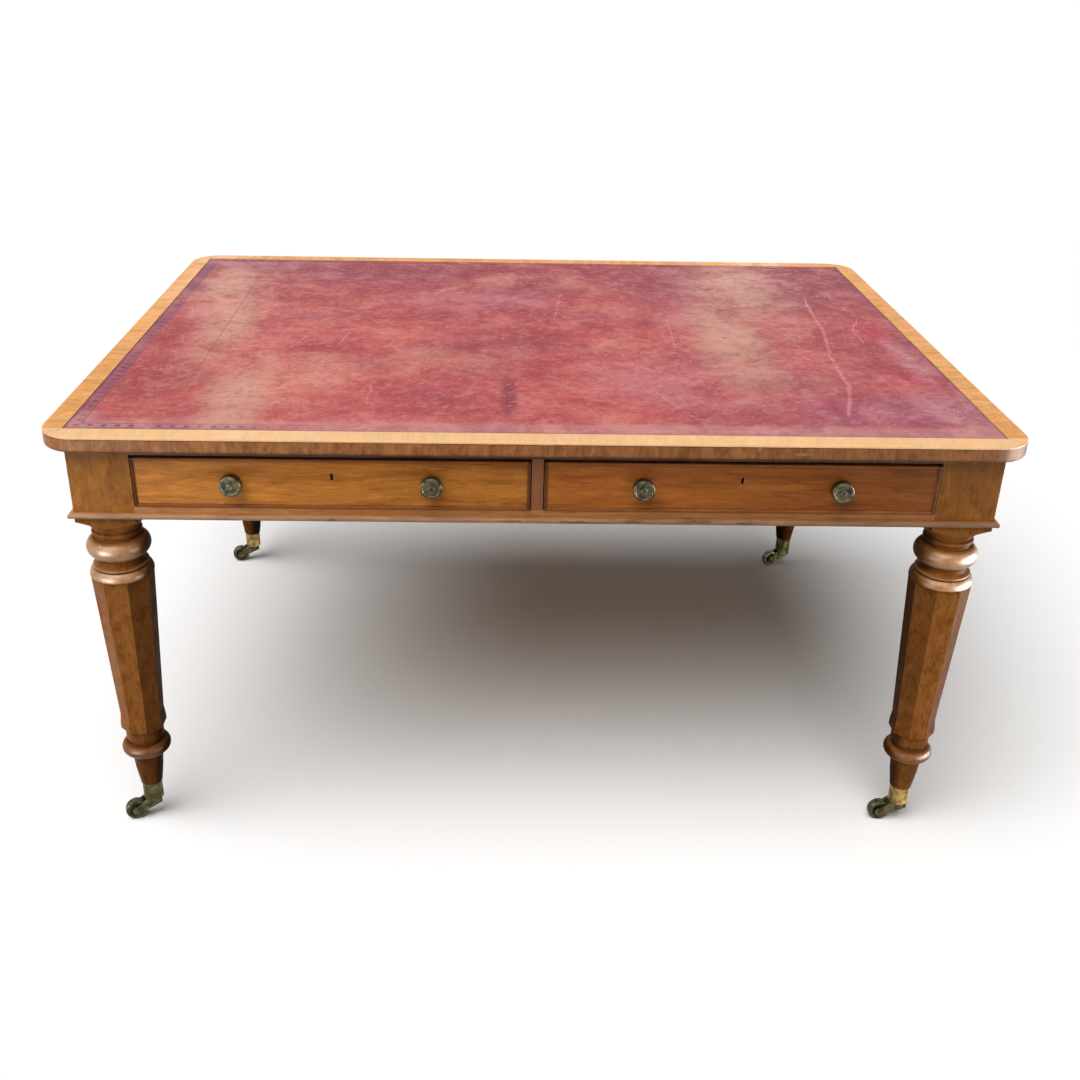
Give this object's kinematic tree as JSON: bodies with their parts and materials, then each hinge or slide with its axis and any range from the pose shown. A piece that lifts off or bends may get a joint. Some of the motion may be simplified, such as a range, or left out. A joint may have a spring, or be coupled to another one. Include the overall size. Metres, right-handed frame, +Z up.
{
  "type": "partners writing table",
  "caption": "Partners writing table with a leather-inset top, frieze drawers to both long sides, turned octagonal legs and brass castors.",
  "frame": {"origin": "on the floor under the middle of the top", "axes": "+X along the table's length to the right of a sitter at the front, +Y from the front sitter to the back one, +Z up"},
  "size_m": [1.524, 1.143, 0.762],
  "materials": {
    "mahogany": "worn french polish",
    "leg_mahogany": "worn french polish",
    "crossband": "worn french polish, grain across the band",
    "drawer_front": "worn french polish",
    "cockbead": "french polish",
    "bead": "french polish",
    "drawer_lining": "unpolished",
    "inner_wood": "unpolished",
    "leather": "worn, blind-tooled border",
    "knob_brass": "aged",
    "lock_brass": "aged",
    "castor_brass": "aged",
    "castor_wheel": "dark, worn tread",
    "lock_steel": "dull",
    "screw_steel": "dull"
  },
  "bodies": {
    "table": {"top_board": "mahogany", "crossband_border": "crossband", "leather_skiver": "leather", "corner_posts": "mahogany", "left_apron": "mahogany", "right_apron": "mahogany", "front_top_rail": "mahogany", "back_top_rail": "mahogany", "front_bottom_rail": "mahogany", "back_bottom_rail": "mahogany", "muntins": "mahogany", "centre_beam": "inner_wood", "drawer_runners": "inner_wood", "drawer_guides": "inner_wood", "drawer_kickers": "inner_wood", "drawer_stops": "inner_wood", "glue_blocks": "inner_wood", "frieze_bead": "bead", "castor_cups": "castor_brass", "top_screws": "screw_steel", "front_left_leg": "leg_mahogany", "front_right_leg": "leg_mahogany", "back_left_leg": "leg_mahogany", "back_right_leg": "leg_mahogany"},
    "front_left_drawer": {"front_left_drawer_face": "drawer_front", "front_left_drawer_box": "drawer_lining", "front_left_drawer_bottom": "drawer_lining", "front_left_drawer_cockbead": "cockbead", "front_left_drawer_knobs": "knob_brass", "front_left_drawer_lock": "lock_brass"},
    "front_left_lock_bolt": {"front_left_drawer_bolt": "lock_steel"},
    "front_left_castor": {"front_left_castor_horn": "castor_brass"},
    "front_left_castor_wheel": {"front_left_castor_wheel": "castor_wheel"},
    "front_right_drawer": {"front_right_drawer_face": "drawer_front", "front_right_drawer_box": "drawer_lining", "front_right_drawer_bottom": "drawer_lining", "front_right_drawer_cockbead": "cockbead", "front_right_drawer_knobs": "knob_brass", "front_right_drawer_lock": "lock_brass"},
    "front_right_lock_bolt": {"front_right_drawer_bolt": "lock_steel"},
    "front_right_castor": {"front_right_castor_horn": "castor_brass"},
    "front_right_castor_wheel": {"front_right_castor_wheel": "castor_wheel"},
    "back_left_drawer": {"back_left_drawer_face": "drawer_front", "back_left_drawer_box": "drawer_lining", "back_left_drawer_bottom": "drawer_lining", "back_left_drawer_cockbead": "cockbead", "back_left_drawer_knobs": "knob_brass", "back_left_drawer_lock": "lock_brass"},
    "back_left_lock_bolt": {"back_left_drawer_bolt": "lock_steel"},
    "back_left_castor": {"back_left_castor_horn": "castor_brass"},
    "back_left_castor_wheel": {"back_left_castor_wheel": "castor_wheel"},
    "back_right_drawer": {"back_right_drawer_face": "drawer_front", "back_right_drawer_box": "drawer_lining", "back_right_drawer_bottom": "drawer_lining", "back_right_drawer_cockbead": "cockbead", "back_right_drawer_knobs": "knob_brass", "back_right_drawer_lock": "lock_brass"},
    "back_right_lock_bolt": {"back_right_drawer_bolt": "lock_steel"},
    "back_right_castor": {"back_right_castor_horn": "castor_brass"},
    "back_right_castor_wheel": {"back_right_castor_wheel": "castor_wheel"}
  },
  "joints": [
    {"name": "front_left_drawer_slide", "type": "slide", "parent": "table", "child": "front_left_drawer", "axis": [0, -1, 0], "range_m": [0, 0.39]},
    {"name": "front_left_bolt_throw", "type": "slide", "parent": "front_left_drawer", "child": "front_left_lock_bolt", "axis": [0, 0, 1], "range_m": [0, 0.008]},
    {"name": "front_left_castor_swivel", "type": "hinge", "parent": "table", "child": "front_left_castor", "pos_m": [-0.675, -0.5015, 0.036], "axis": [0, 0, 1], "continuous": true},
    {"name": "front_left_castor_roll", "type": "hinge", "parent": "front_left_castor", "child": "front_left_castor_wheel", "pos_m": [-0.70507, -0.51245, 0.0195], "axis": [-0.342, 0.9397, 0], "continuous": true},
    {"name": "front_right_drawer_slide", "type": "slide", "parent": "table", "child": "front_right_drawer", "axis": [0, -1, 0], "range_m": [0, 0.39]},
    {"name": "front_right_bolt_throw", "type": "slide", "parent": "front_right_drawer", "child": "front_right_lock_bolt", "axis": [0, 0, 1], "range_m": [0, 0.008]},
    {"name": "front_right_castor_swivel", "type": "hinge", "parent": "table", "child": "front_right_castor", "pos_m": [0.675, -0.5015, 0.036], "axis": [0, 0, 1], "continuous": true},
    {"name": "front_right_castor_roll", "type": "hinge", "parent": "front_right_castor", "child": "front_right_castor_wheel", "pos_m": [0.643, -0.5015, 0.0195], "axis": [0, 1, 0], "continuous": true},
    {"name": "back_left_drawer_slide", "type": "slide", "parent": "table", "child": "back_left_drawer", "axis": [0, 1, 0], "range_m": [0, 0.39]},
    {"name": "back_left_bolt_throw", "type": "slide", "parent": "back_left_drawer", "child": "back_left_lock_bolt", "axis": [0, 0, 1], "range_m": [0, 0.008]},
    {"name": "back_left_castor_swivel", "type": "hinge", "parent": "table", "child": "back_left_castor", "pos_m": [-0.675, 0.5015, 0.036], "axis": [0, 0, 1], "continuous": true},
    {"name": "back_left_castor_roll", "type": "hinge", "parent": "back_left_castor", "child": "back_left_castor_wheel", "pos_m": [-0.70605, 0.49376, 0.0195], "axis": [-0.2419, 0.9703, 0], "continuous": true},
    {"name": "back_right_drawer_slide", "type": "slide", "parent": "table", "child": "back_right_drawer", "axis": [0, 1, 0], "range_m": [0, 0.39]},
    {"name": "back_right_bolt_throw", "type": "slide", "parent": "back_right_drawer", "child": "back_right_lock_bolt", "axis": [0, 0, 1], "range_m": [0, 0.008]},
    {"name": "back_right_castor_swivel", "type": "hinge", "parent": "table", "child": "back_right_castor", "pos_m": [0.675, 0.5015, 0.036], "axis": [0, 0, 1], "continuous": true},
    {"name": "back_right_castor_roll", "type": "hinge", "parent": "back_right_castor", "child": "back_right_castor_wheel", "pos_m": [0.64395, 0.49376, 0.0195], "axis": [-0.2419, 0.9703, 0], "continuous": true}
  ]
}
